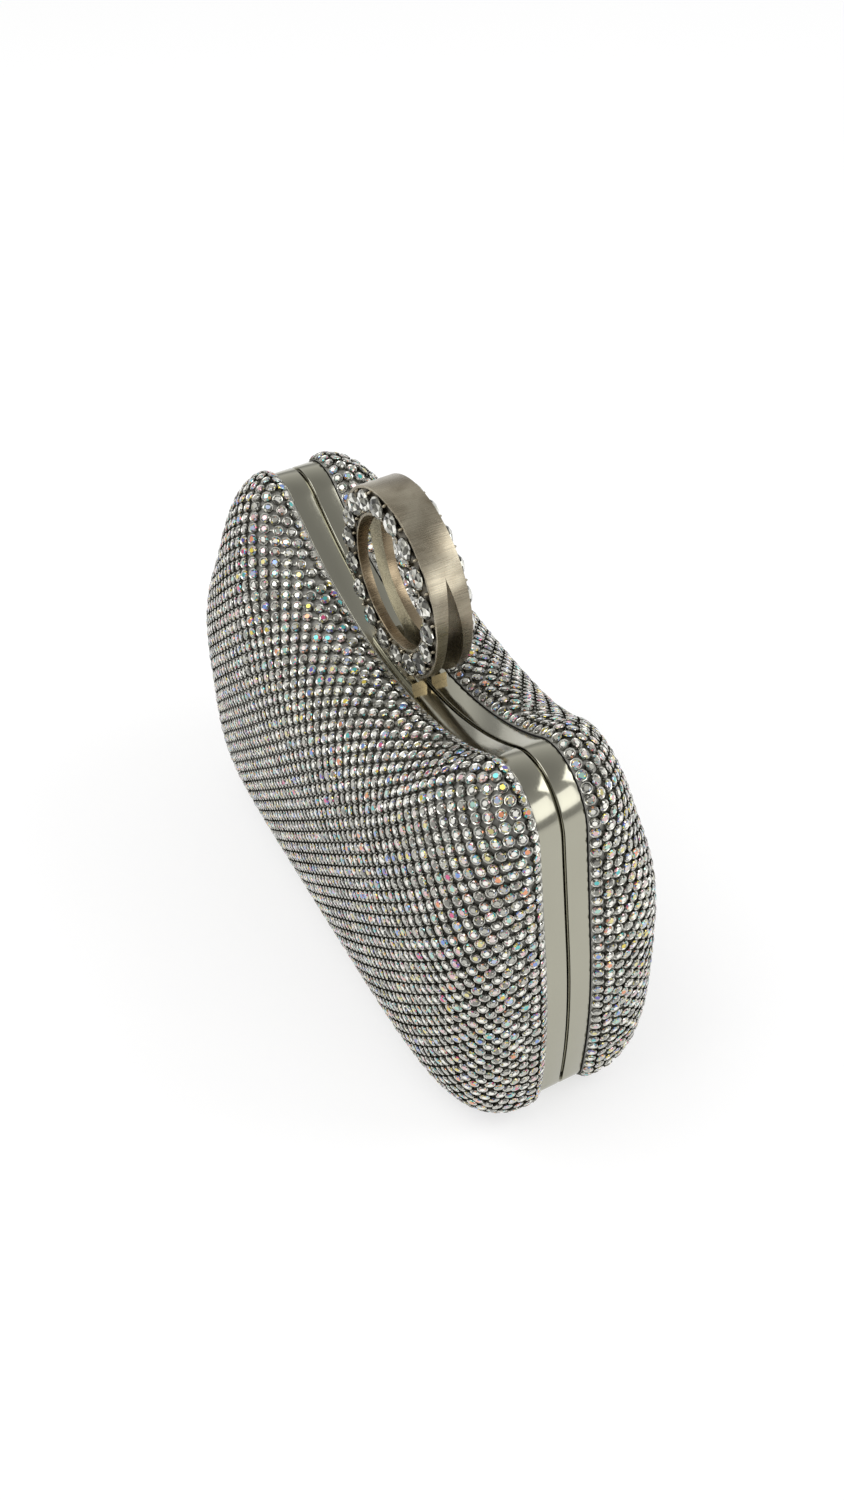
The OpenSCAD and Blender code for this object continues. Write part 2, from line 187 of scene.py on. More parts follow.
def add(tree, kind, inputs=None, **settings):
    """Adds a node of that kind with its settings, then its inputs."""
    made = tree.nodes.new(kind)
    for name, value in settings.items():
        setattr(made, name, value)
    feed(tree, made, inputs or {})
    return made


def rgb(code):
    """An sRGB hex colour as linear light."""
    parts = [int(code[i:i + 2], 16) / 255 for i in (1, 3, 5)]
    return [c / 12.92 if c <= 0.04045 else ((c + 0.055) / 1.055) ** 2.4 for c in parts] + [1]


def start_material(name):
    """A new material, its node tree, and the shader in it."""
    material = bpy.data.materials.new(name)
    material.use_nodes = True
    tree = material.node_tree
    return material, tree, tree.nodes["Principled BSDF"]


def as_mesh(bm, name="shape"):
    """Turns a bmesh into a mesh and frees it."""
    mesh = bpy.data.meshes.new(name)
    bm.to_mesh(mesh)
    bm.free()
    return mesh


def link_object(name, data):
    """A new object in the scene."""
    made = bpy.data.objects.new(name, data)
    bpy.context.scene.collection.objects.link(made)
    return made


def finish_piece(bm, name, body, materials, stands_for=(), sharp_deg=30, merge=True):
    """Turns a bmesh, laid in millimetres for the back, into a piece that rides on its body."""
    if body == "front":
        bmesh.ops.scale(bm, vec=(1, -1, 1), verts=bm.verts)
        bmesh.ops.reverse_faces(bm, faces=bm.faces)
    if merge:
        bmesh.ops.remove_doubles(bm, verts=bm.verts, dist=MERGE_MM)
        bmesh.ops.recalc_face_normals(bm, faces=bm.faces)
    bmesh.ops.scale(bm, vec=(MM, MM, MM), verts=bm.verts)
    mesh = as_mesh(bm, name)
    for material in materials:
        mesh.materials.append(material)
    mesh.shade_smooth()
    mesh.set_sharp_from_angle(angle=math.radians(sharp_deg))
    piece = link_object(name, mesh)
    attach(piece, body)
    if stands_for:
        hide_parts(*stands_for)
    return piece


def round_corners(bm, points, round_r, segments):
    """Rounds corners of the one face in the bmesh, takes the face away and gives its edges."""
    bmesh.ops.bevel(bm, geom=points, offset=round_r, offset_type="OFFSET", affect="VERTICES",
                    segments=segments, profile=0.5, material=-1)
    face = bm.faces[:][0]
    edges = list(face.edges)
    bmesh.ops.delete(bm, geom=[face], context="FACES_ONLY")
    return edges


def ends_of(edges):
    """The vertices of some edges, each once."""
    return list(dict.fromkeys(v for e in edges for v in e.verts))


def draw_profile(bm, corners, round_r, segments=2):
    """The closed edge of a profile with rounded corners, given as (inset from the saddle, y)."""
    points = [bm.verts.new((0, y, BASE_Z + SADDLE_H - d)) for d, y in corners]
    bm.faces.new(points)
    return round_corners(bm, points, round_r, segments)


def sweep_profile(bm, edges, stretches):
    """Carries the edge of a profile along stretches of the outline and gives its last place."""
    for place, heading, radius, amount, steps in stretches:
        verts = ends_of(edges)
        k = math.radians(heading)
        if radius:
            centre = (place[0] - radius * math.sin(k), 0,
                      BASE_Z + place[1] + radius * math.cos(k))
            last = bmesh.ops.spin(bm, geom=verts + edges, cent=centre,
                                  axis=(0, -math.copysign(1, radius), 0), dvec=(0, 0, 0),
                                  angle=math.radians(amount), steps=steps)["geom_last"]
            edges = [g for g in last if isinstance(g, bmesh.types.BMEdge)]
        else:
            made = bmesh.ops.extrude_edge_only(bm, edges=edges)["geom"]
            verts = [g for g in made if isinstance(g, bmesh.types.BMVert)]
            known = set(verts)
            bmesh.ops.translate(bm, verts=verts,
                                vec=(amount * math.cos(k), 0, amount * math.sin(k)))
            edges = [g for g in made
                     if isinstance(g, bmesh.types.BMEdge) and set(g.verts) <= known]
    return edges


def mirror_across(bm):
    """Adds the left side, which mirrors the right one."""
    bmesh.ops.mirror(bm, geom=bm.verts[:] + bm.edges[:] + bm.faces[:], merge_dist=MERGE_MM,
                     axis="X")


def add_block(bm, low, high, round_r=0.1, segments=2):
    """A block with rounded edges between two corners."""
    made = bmesh.ops.create_cube(bm, size=1)["verts"]
    size, middle = np.subtract(high, low), np.add(high, low) / 2
    bmesh.ops.scale(bm, vec=size, verts=made)
    bmesh.ops.translate(bm, vec=middle, verts=made)
    edges = list(dict.fromkeys(e for v in made for e in v.link_edges))
    bmesh.ops.bevel(bm, geom=edges, offset=round_r, offset_type="OFFSET", affect="EDGES",
                    segments=segments, profile=0.5, material=-1)


# Materials

def plated_zinc(name, colour, roughness, streak, seed):
    """Die-cast zinc, polished and plated with nickel or gold: mirror-like, with hair scratches."""
    material, tree, shader = start_material(name)
    place = add(tree, "ShaderNodeTexCoord").outputs["Object"]
    # Clouding of the plating, about 12 mm across
    cloud = add(tree, "ShaderNodeTexNoise", {"Vector": place, "Scale": 85, "Detail": 3})
    tint = add(tree, "ShaderNodeMix", {"Factor": cloud.outputs["Fac"], "A": rgb(colour),
                                       "B": rgb(streak)}, data_type="RGBA")
    # Hair scratches along the band, drawn 0.4 mm wide so that they show
    run = add(tree, "ShaderNodeMapping", {"Vector": place, "Location": (seed, 0, 0),
                                          "Scale": (500, 2500, 500)})
    hairs = add(tree, "ShaderNodeTexNoise", {"Vector": run.outputs["Vector"], "Scale": 1,
                                             "Detail": 2})
    rough = add(tree, "ShaderNodeMapRange", {"Value": hairs.outputs["Fac"], "From Min": 0.3,
                                             "From Max": 0.8, "To Min": roughness,
                                             "To Max": roughness + 0.08})
    bump = add(tree, "ShaderNodeBump", {"Height": hairs.outputs["Fac"], "Strength": 0.02,
                                        "Distance": 0.0001})
    feed(tree, shader, {"Metallic": 1, "Base Color": tint.outputs["Result"],
                        "Roughness": rough.outputs["Result"], "Normal": bump.outputs["Normal"]})
    return material


def brushed_zinc(name, colour, stain, roughness):
    """Die-cast zinc, brushed across the ring and lacquered: fine lines and brownish stains."""
    material, tree, shader = start_material(name)
    place = add(tree, "ShaderNodeTexCoord").outputs["Object"]
    # Brush lines along Y: 0.25 mm apart round the ring, 8 mm long across it
    lines = add(tree, "ShaderNodeMapping", {"Vector": place, "Scale": (4000, 120, 4000)})
    brush = add(tree, "ShaderNodeTexNoise", {"Vector": lines.outputs["Vector"], "Scale": 1,
                                             "Detail": 3})
    # Stains of handling, about 9 mm across
    spots = add(tree, "ShaderNodeTexNoise", {"Vector": place, "Scale": 110, "Detail": 4,
                                             "Distortion": 0.6})
    spread = add(tree, "ShaderNodeMapRange", {"Value": spots.outputs["Fac"], "From Min": 0.36,
                                              "From Max": 0.68})
    tint = add(tree, "ShaderNodeMix", {"Factor": spread.outputs["Result"], "A": rgb(colour),
                                       "B": rgb(stain)}, data_type="RGBA")
    rough = add(tree, "ShaderNodeMapRange", {"Value": brush.outputs["Fac"], "From Min": 0.3,
                                             "From Max": 0.75, "To Min": roughness - 0.06,
                                             "To Max": roughness + 0.1})
    bump = add(tree, "ShaderNodeBump", {"Height": brush.outputs["Fac"], "Strength": 0.12,
                                        "Distance": 0.0002})
    feed(tree, shader, {"Metallic": 1, "Base Color": tint.outputs["Result"],
                        "Roughness": rough.outputs["Result"], "Normal": bump.outputs["Normal"]})
    return material


def foiled_crystal(name, interpolation, metallic, roughness, coat_roughness, stops):
    """Lead glass with a foiled back. Each facet has one colour, by its share along the stops; the
    greys from near black to near white are painted reflections and glints.
    """
    material, tree, shader = start_material(name)
    flash = add(tree, "ShaderNodeAttribute", attribute_name="flash")
    ramp = add(tree, "ShaderNodeValToRGB", {"Fac": flash.outputs["Fac"]})
    ramp.color_ramp.interpolation = interpolation
    while len(ramp.color_ramp.elements) < len(stops):
        ramp.color_ramp.elements.new(0.5)
    for element, (position, code) in zip(ramp.color_ramp.elements, stops):
        element.position = position
        element.color = rgb(code)
    feed(tree, shader, {"Base Color": ramp.outputs["Color"], "Metallic": metallic,
                        "Roughness": roughness, "Coat Weight": 1,
                        "Coat Roughness": coat_roughness})
    return material


def silver_plate(name, dark, light):
    """Stamped brass, silver plated, between a dark and a light tone. The cups' rims take a light
    copy; their sides and the links take a darker copy, which is painted shade.
    """
    material, tree, shader = start_material(name)
    place = add(tree, "ShaderNodeTexCoord").outputs["Object"]
    # Plating varies from cup to cup, so its clouding is as wide as a cup, 2.5 mm
    cloud = add(tree, "ShaderNodeTexNoise", {"Vector": place, "Scale": 400, "Detail": 2})
    tint = add(tree, "ShaderNodeMix", {"Factor": cloud.outputs["Fac"], "A": rgb(dark),
                                       "B": rgb(light)}, data_type="RGBA")
    feed(tree, shader, {"Metallic": 1, "Roughness": 0.25, "Base Color": tint.outputs["Result"]})
    return material


def grey_mesh():
    """Grey plastic net that carries the cups: dull, with a fine grid of threads."""
    material, tree, shader = start_material("grey_carrier_net")
    place = add(tree, "ShaderNodeTexCoord").outputs["Object"]
    # Threads 0.7 mm apart
    threads = add(tree, "ShaderNodeTexVoronoi", {"Vector": place, "Scale": 1400})
    tint = add(tree, "ShaderNodeMix", {"Factor": threads.outputs["Distance"],
                                       "A": rgb("#A09F98"), "B": rgb("#77766F")},
               data_type="RGBA")
    bump = add(tree, "ShaderNodeBump", {"Height": threads.outputs["Distance"], "Strength": 0.3,
                                        "Distance": 0.0002})
    feed(tree, shader, {"Roughness": 0.5, "Base Color": tint.outputs["Result"],
                        "Normal": bump.outputs["Normal"]})
    return material


def satin_lining():
    """Black polyester satin over card: a soft sheen along fine floats."""
    material, tree, shader = start_material("black_satin")
    place = add(tree, "ShaderNodeTexCoord").outputs["Object"]
    # Floats 0.5 mm long and 0.12 mm apart
    floats = add(tree, "ShaderNodeMapping", {"Vector": place, "Scale": (2000, 2000, 8000)})
    weave = add(tree, "ShaderNodeTexNoise", {"Vector": floats.outputs["Vector"], "Scale": 1,
                                             "Detail": 2})
    tint = add(tree, "ShaderNodeMix", {"Factor": weave.outputs["Fac"], "A": rgb("#101013"),
                                       "B": rgb("#2B2B31")}, data_type="RGBA")
    bump = add(tree, "ShaderNodeBump", {"Height": weave.outputs["Fac"], "Strength": 0.2,
                                        "Distance": 0.0001})
    feed(tree, shader, {"Roughness": 0.42, "Sheen Weight": 0.4,
                        "Base Color": tint.outputs["Result"], "Normal": bump.outputs["Normal"]})
    return material


def grained_solid(name, dark, light, scale, roughness, metallic):
    """A material with a fine grain, for what is hidden or small: steel, ABS and foam."""
    material, tree, shader = start_material(name)
    place = add(tree, "ShaderNodeTexCoord").outputs["Object"]
    grain = add(tree, "ShaderNodeTexNoise", {"Vector": place, "Scale": scale, "Detail": 3})
    tint = add(tree, "ShaderNodeMix", {"Factor": grain.outputs["Fac"], "A": rgb(dark),
                                       "B": rgb(light)}, data_type="RGBA")
    bump = add(tree, "ShaderNodeBump", {"Height": grain.outputs["Fac"], "Strength": 0.1,
                                        "Distance": 0.0001})
    feed(tree, shader, {"Roughness": roughness, "Metallic": metallic,
                        "Base Color": tint.outputs["Result"], "Normal": bump.outputs["Normal"]})
    return material


band_metal = plated_zinc("nickel_plated_frame", "#AAA899", 0.1, "#A5A394", 0)
foot_end_gold = plated_zinc("pale_gold_foot_painted_highlight", "#E4D2AF", 0.16, "#D1BD98", 5)
ring_metal = brushed_zinc("brushed_zinc_ring", "#ADA592", "#857B69", 0.28)
hole_metal = brushed_zinc("brushed_ring_hole", "#9E8F76", "#7D6E59", 0.26)
# The channel under the stones is darker than the ring: painted shade in the recess
channel_shade_zinc = brushed_zinc("channel_painted_shade", "#7A7467", "#5A554A", 0.4)
# Aurora coating over pale grey glass: some facets flash pink, yellow, blue or violet. Its grey
# stops, near black to near white, are painted reflections and glints.
crystal = foiled_crystal("aurora_crystal_painted_glints", "CONSTANT", 0.6, 0.2, 0.04, [
    (0, "#2C2B27"), (0.12, "#4E4D47"), (0.26, "#7A7971"), (0.4, "#B2B1A7"), (0.5, "#F8F7EE"),
    (0.62, "#DCCFC9"), (0.67, "#DFB9BC"), (0.72, "#DDD38F"), (0.77, "#A9D4C6"),
    (0.81, "#B3C0DB"), (0.85, "#E6986C"), (0.88, "#E0CB48"), (0.91, "#50BDBB"),
    (0.94, "#7794D6"), (0.965, "#D65587"), (0.985, "#665CB4")])
# Clear glass, brilliant cut: its hard white and dark facets are painted glints and painted
# reflections
ring_crystal = foiled_crystal("clear_crystal_painted_glints", "LINEAR", 0.8, 0.08, 0.02, [
    (0, "#2B2A26"), (0.25, "#66655D"), (0.5, "#98978C"), (0.75, "#D2D1C6"), (1, "#FBFAF2")])
# Light copy for the cups' rims; darker copy for their sides and the links, painted shade
cup_metal = silver_plate("silver_plated_rims", "#B3B2AA", "#E2E1D8")
shaded_cup_silver = silver_plate("silver_painted_shade", "#7F7E76", "#A9A8A0")
net = grey_mesh()
satin = satin_lining()
# Satin steel of hinges and snap, grain 0.5 mm
hinge_steel = grained_solid("satin_steel", "#77756E", "#96948C", 2000, 0.35, 1)
# Moulded ABS shell with a fine matt grain of 1 mm
shell_abs = grained_solid("black_abs", "#1C1C1E", "#2A2A2D", 1000, 0.55, 0)
# Polyurethane foam with 1 mm cells
foam = grained_solid("cream_foam", "#C9C1AF", "#E6DFCF", 1000, 0.95, 0)


# Frames and strip

def make_frame(body):
    """One half frame: band, flange, and the pads and notches of the hinges."""
    bm = bmesh.new()
    low, flange_far = GAP / 2, FLANGE_Y + FLANGE_T
    band = draw_profile(bm, [(0, low), (0, BAND_Y), (BAND_T, BAND_Y), (BAND_T, flange_far),
                             (FLANGE_IN, flange_far), (FLANGE_IN, FLANGE_Y), (BAND_T, FLANGE_Y),
                             (BAND_T, low)], round_r=0.16, segments=3)
    sweep_profile(bm, band, STRETCHES)
    mirror_across(bm)
    for middle in (-HINGE_X, HINGE_X):
        half = HINGE_L / 2 + PAD_SIDE
        add_block(bm, (middle - half, FLANGE_Y, BASE_Z + PAD_LOW),
                  (middle + half, flange_far, BASE_Z + PAD_HIGH))
    piece = finish_piece(bm, body + "_band", body, [band_metal],
                         [body + "_frame"])
    cut = bmesh.new()
    sign = -1 if body == "front" else 1
    near, far = sorted((-sign * NOTCH_PAST, sign * FLANGE_Y))
    for middle in (-HINGE_X, HINGE_X):
        half = HINGE_L / 2 + KNUCKLE_GAP
        add_block(cut, (middle - half, near, BASE_Z + NOTCH_LOW),
                  (middle + half, far, BASE_Z + NOTCH_HIGH), round_r=0.02, segments=1)
    bmesh.ops.scale(cut, vec=(MM, MM, MM), verts=cut.verts)
    tool = link_object("notch", as_mesh(cut, "notch"))
    cutting = piece.modifiers.new("notches", "BOOLEAN")
    cutting.object, cutting.operation, cutting.solver = tool, "DIFFERENCE", "EXACT"
    bpy.context.view_layer.update()
    whole = piece.evaluated_get(bpy.context.evaluated_depsgraph_get())
    cut_mesh = bpy.data.meshes.new_from_object(whole)
    piece.modifiers.clear()
    piece.data = cut_mesh
    cut_mesh.name = piece.name
    bpy.data.objects.remove(tool)


def make_closing_strip():
    """The strip inside the front frame, from the saddle to just above the hinges."""
    bm = bmesh.new()
    far = FLANGE_Y - SEAT
    strip = draw_profile(bm, [(STRIP_OUTER, STRIP_Y), (STRIP_OUTER, far), (STRIP_INNER, far),
                              (STRIP_INNER, STRIP_Y)], round_r=0.12)
    sweep_profile(bm, strip, STRETCHES)
    mirror_across(bm)
    bmesh.ops.remove_doubles(bm, verts=bm.verts, dist=MERGE_MM)
    bmesh.ops.bisect_plane(bm, geom=bm.verts[:] + bm.edges[:] + bm.faces[:],
                           plane_co=(0, 0, BASE_Z + STRIP_LOW), plane_no=(0, 0, -1),
                           clear_outer=True)
    bmesh.ops.holes_fill(bm, edges=[e for e in bm.edges if e.is_boundary], sides=0)
    finish_piece(bm, "closing_lip", "front", [band_metal], ["closing_strip"])


# Ring clasp

def slit_half(z):
    """Half width of the opening between the ring's halves, by height above the ring's middle."""
    radius = (SLIT_W ** 2 + (SLIT_TOP + SLIT_LOW) ** 2) / (2 * SLIT_W)
    if z > SLIT_TOP:
        return 0
    if z < -SLIT_LOW:
        return SLIT_W
    return SLIT_W - radius + math.sqrt(radius ** 2 - (z + SLIT_LOW) ** 2)


def make_ring(body):
    """Half of the ring: turned, channelled, parted along the slit, with its neck."""
    bm = bmesh.new()
    hairline, floor_y = 0.005, RING_Y - CHANNEL_D
    corners = [(HOLE_R, hairline), (RING_R, hairline), (RING_R, RING_Y),
               (RING_R - RIM_W, RING_Y), (RING_R - RIM_W, floor_y), (HOLE_R + RIM_W, floor_y),
               (HOLE_R + RIM_W, RING_Y), (HOLE_R, RING_Y)]
    points = [bm.verts.new((r, y, 0)) for r, y in corners]
    bm.faces.new(points)
    edges = round_corners(bm, points[2:], round_r=0.16, segments=3)
    bmesh.ops.spin(bm, geom=ends_of(edges) + edges, cent=(0, 0, 0), axis=(0, 1, 0), dvec=(0, 0, 0),
                   angle=math.tau, steps=180, use_merge=True)
    inner_y = 1
    for v in bm.verts:
        if v.co.y < inner_y:
            v.co.y += slit_half(v.co.z)
    for f in bm.faces:
        middle = f.calc_center_median()
        radius = math.hypot(middle.x, middle.z)
        off_middle = abs(radius - STONE_RING_R)
        # The channel's floor and the inner walls of its rims take the darker zinc, painted shade
        if middle.y > floor_y - 0.05 and off_middle < RING_W / 2 - RIM_W + 0.02:
            f.material_index = 2
        elif radius < HOLE_R + 0.05:
            f.material_index = 1
    bmesh.ops.translate(bm, verts=bm.verts, vec=(0, 0, RING_Z))
    # The neck goes a little way into the foot plate and into the ring
    low, high = BASE_Z + SADDLE_H + FOOT_T - 0.1, RING_Z - HOLE_R - 0.6
    add_block(bm, (-NECK_L / 2, SLIT_W, low), (NECK_L / 2, RING_Y - 0.15, high), round_r=0.3,
              segments=3)
    finish_piece(bm, body + "_ring_half", body, [ring_metal, hole_metal, channel_shade_zinc],
                 [body + "_ring"])


def make_foot(body):
    """The foot plate under one half of the ring, bent to the saddle; its end faces are pale gold,
    partly the foot's tone and partly a painted highlight.
    """
    bm = bmesh.new()
    foot = draw_profile(bm, [(-FOOT_T, FOOT_NEAR), (-FOOT_T, FOOT_FAR), (-FOOT_SEAT, FOOT_FAR),
                             (-FOOT_SEAT, FOOT_NEAR)], round_r=0.14)
    place, heading, radius, _, _ = STRETCHES[0]
    sweep = math.degrees(math.asin(FOOT_L / 2 / SADDLE_R))
    last = sweep_profile(bm, foot, [(place, heading, radius, sweep, 8)])
    bmesh.ops.edgeloop_fill(bm, edges=last)
    mirror_across(bm)
    bm.normal_update()
    for face in bm.faces:
        # The end faces take the pale gold: partly the foot's tone, partly a painted highlight
        face.material_index = 1 if abs(face.normal.x) > 0.8 else 0
    finish_piece(bm, body + "_foot_plate", body, [band_metal, foot_end_gold],
                 [body + "_ring_foot"])


def cut_stone(rings, star=False):
    """A faceted stone, as rings of corners: (radius, height, count, turn in degrees).

    A star splits its table into facets.
    """
    bm = bmesh.new()
    for radius, height, count, turn in rings:
        made = bmesh.ops.create_circle(bm, segments=count, radius=radius)["verts"]
        bmesh.ops.rotate(bm, verts=made, matrix=Matrix.Rotation(math.radians(turn), 3, "Z"))
        bmesh.ops.translate(bm, verts=made, vec=(0, 0, height))
    bmesh.ops.delete(bm, geom=bm.edges[:], context="EDGES_FACES")
    bmesh.ops.convex_hull(bm, input=bm.verts)
    bmesh.ops.dissolve_limit(bm, angle_limit=math.radians(1), verts=bm.verts, edges=bm.edges)
    if star:
        bm.normal_update()
        table = max(bm.faces, key=lambda f: f.normal.z)
        bmesh.ops.poke(bm, faces=[table], offset=-0.12)
    return as_mesh(bm)


def repeat_shape(bm, mesh, places):
    """Adds a copy of a small mesh at each place."""
    for place in places:
        copy = mesh.copy()
        copy.transform(place)
        bm.from_mesh(copy)
        bpy.data.meshes.remove(copy)


def set_flash(piece, values):
    """Gives each face its share along the colours of the crystals."""
    attribute = piece.data.attributes.new("flash", "FLOAT", "FACE")
    attribute.data.foreach_set("value", np.asarray(values, np.float32))


def make_ring_stones(body):
    """Brilliants in the channel of one face of the ring, and the claws between them."""
    stone = cut_stone([(STONE_R * 0.5, 0, 8, 0), (STONE_R, 0.85, 16, 0), (STONE_R, 1.15, 16, 0),
                       (STONE_R * 0.84, 1.65, 8, 22.5), (STONE_R * 0.56, 2.1, 8, 0)], star=True)
    bm = bmesh.new()
    places = []
    for i in range(STONE_COUNT):
        turn = Matrix.Rotation(math.tau * (i + 0.5) / STONE_COUNT, 4, "Y")
        sit = (Matrix.Translation((0, RING_Y - CHANNEL_D + 0.03, STONE_RING_R))
               @ Matrix.Rotation(-math.pi / 2, 4, "X"))
        spin = Matrix.Rotation(draw.uniform(0, math.tau), 4, "Z")
        places.append(Matrix.Translation((0, 0, RING_Z)) @ turn @ sit @ spin)
    repeat_shape(bm, stone, places)
    piece = finish_piece(bm, body + "_ring_brilliants", body, [ring_crystal],
                         [body + "_ring_stones"], sharp_deg=1, merge=False)
    # Each facet gets a random grey from near black to near white: painted reflections and glints
    set_flash(piece, draw.beta(0.6, 0.7, len(piece.data.polygons)))
    claws = bmesh.new()
    claw_r, claw_long, claw_in = 0.4, 2.2, 0.35
    for i in range(STONE_COUNT):
        for radius in (HOLE_R + RIM_W + claw_in, RING_R - RIM_W - claw_in):
            made = bmesh.ops.create_icosphere(claws, subdivisions=2, radius=claw_r)["verts"]
            turn = Matrix.Rotation(math.tau * i / STONE_COUNT, 3, "Y")
            bmesh.ops.scale(claws, verts=made, vec=(1, claw_long, 1))
            bmesh.ops.translate(claws, verts=made, vec=(0, RING_Y - 0.05, radius))
            bmesh.ops.rotate(claws, verts=made, matrix=turn)
            bmesh.ops.translate(claws, verts=made, vec=(0, 0, RING_Z))
    finish_piece(claws, body + "_ring_claws", body, [ring_metal], merge=False)


# Domed layers

def make_layer(name, body, rows, material, stands_for, around=300):
    """A domed layer, its rows listed from the middle of its inside to the middle of its outside.

    A row on the dome is ("dome", depth inside the crystals' tops, angle, lowest y), and one on
    the frame's outline is ("rim", inset, y, 0).
    """
    bm = bmesh.new()
    bmesh.ops.create_grid(bm, x_segments=around, y_segments=len(rows) - 1, size=1)
    bm.verts.ensure_lookup_table()
    place = np.array([v.co for v in bm.verts])
    share = (place[:, 0] + 1) / 2
    row = np.rint((place[:, 1] + 1) / 2 * (len(rows) - 1)).astype(int)
    points = np.zeros((len(share), 3))
    for i, (kind, depth, amount, low_y) in enumerate(rows):
        here = row == i
        if kind == "dome":
            points[here] = dome(share[here], np.full(here.sum(), float(amount)), depth, low_y)
        else:
            flat = outline(share[here], depth)
            points[here] = np.stack([flat[:, 0], np.full(len(flat), float(amount)),
                                     flat[:, 1]], -1)
    # A layer stays just above the table, where only crystals and cups rest
    for v, point in zip(bm.verts, points):
        v.co = point
        v.co.z = max(v.co.z, LAYER_LIFT)
    bmesh.ops.remove_doubles(bm, verts=bm.verts, dist=MERGE_MM)
    bmesh.ops.holes_fill(bm, edges=[e for e in bm.edges if e.is_boundary], sides=0)
    return finish_piece(bm, name, body, [material], stands_for, sharp_deg=50)


def make_linings(body):
    """Padding and lining inside one shell."""
    foam_out = MESH_T + SHELL_T + 2 * GLUE
    foam_y = STEP_Y + SHELL_T + GLUE
    rows = [("dome", foam_out + PADDING_T, a, foam_y) for a in reversed(ANGLES)]
    rows += [("dome", foam_out, a, foam_y) for a in ANGLES]
    pad = make_layer(body + "_foam", body, rows, foam, [body + "_padding"], 160)
    card_out = foam_out + PADDING_T + 2 * GLUE
    card_y = STEP_Y + SHELL_T + 2 * GLUE
    rim_in = BAND_T + SEAT + SHELL_T + GLUE
    rim_y = FLANGE_Y + FLANGE_T + SEAT
    rows = [("dome", card_out + LINING_T, a, card_y + LINING_T) for a in reversed(ANGLES)]
    rows += [("rim", rim_in + LINING_T, rim_y, 0), ("rim", rim_in, rim_y, 0)]
    rows += [("dome", card_out, a, card_y) for a in ANGLES]
    make_layer(body + "_satin", body, rows, satin, [body + "_lining"], 240)


# Crystals

def lay_form(around):
    """The dome at the crystals' tops, carried on below its edge and nearly to its middle.

    Gives it as rings of points and as a surface.
    """
    skirt = [(-9, 0), (-5, 0), (-1, 0), (2.5, 0)]
    rows = skirt + [(None, a) for a in ANGLES + [88, 89.2, 89.8]]
    share = np.arange(around) / around
    rings = []
    for skirt_y, angle in rows:
        ring = dome(share, np.full(around, float(angle)), 0.0)
        if skirt_y is not None:
            ring[:, 1] = skirt_y
        rings.append(ring)
    rings = np.array(rings)
    form = bmesh.new()
    bmesh.ops.create_grid(form, x_segments=around, y_segments=len(rows) - 1, size=1)
    for v in form.verts:
        i = int(round((v.co.x + 1) / 2 * around)) % around
        j = int(round((v.co.y + 1) / 2 * (len(rows) - 1)))
        v.co = rings[j, i]
    bmesh.ops.remove_doubles(form, verts=form.verts, dist=MERGE_MM)
    half_way = 20
    top = [e for e in form.edges if e.is_boundary and e.verts[0].co.y > half_way]
    bmesh.ops.holes_fill(form, edges=top, sides=0)
    bmesh.ops.recalc_face_normals(form, faces=form.faces)
    surface = BVHTree.FromBMesh(form)
    form.free()
    return rings, surface


def unroll(rings):
    """The rings laid flat: each point keeps its distance and direction from the dome's middle."""
    around = rings.shape[1]
    core_x = np.clip(rings[-1, :, 0], -CORE_W, CORE_W)
    core = np.stack([core_x, np.full(around, BASE_Z + CORE_H)], -1)
    flat = rings[-1][:, [0, 2]].copy()
    unrolled = [flat.copy()]
    for j in range(len(rings) - 2, -1, -1):
        step = np.linalg.norm(rings[j] - rings[j + 1], axis=1, keepdims=True)
        away = rings[j][:, [0, 2]] - core
        away /= np.linalg.norm(away, axis=1, keepdims=True)
        flat = flat + away * step
        unrolled.append(flat.copy())
    return np.array(unrolled[::-1])


def draw_over(places, links, braces, surface):
    """Draws the net over the dome until its links are even, and gives the directions it faces."""
    facing = np.zeros_like(places)
    springs = ((links, PITCH, 0.5), (braces, PITCH * math.sqrt(2), 0.08))
    for _ in range(160):
        push = np.zeros_like(places)
        for pairs, rest, stiff in springs:
            between = places[pairs[:, 1]] - places[pairs[:, 0]]
            length = np.linalg.norm(between, axis=1, keepdims=True)
            pull = between * (stiff * (length - rest) / np.maximum(length, 1e-6))
            np.add.at(push, pairs[:, 0], pull)
            np.add.at(push, pairs[:, 1], -pull)
        places = places + 0.45 * push
        for k, place in enumerate(places):
            near, normal, _, _ = surface.find_nearest(Vector(place))
            places[k], facing[k] = near, normal
    return places, facing


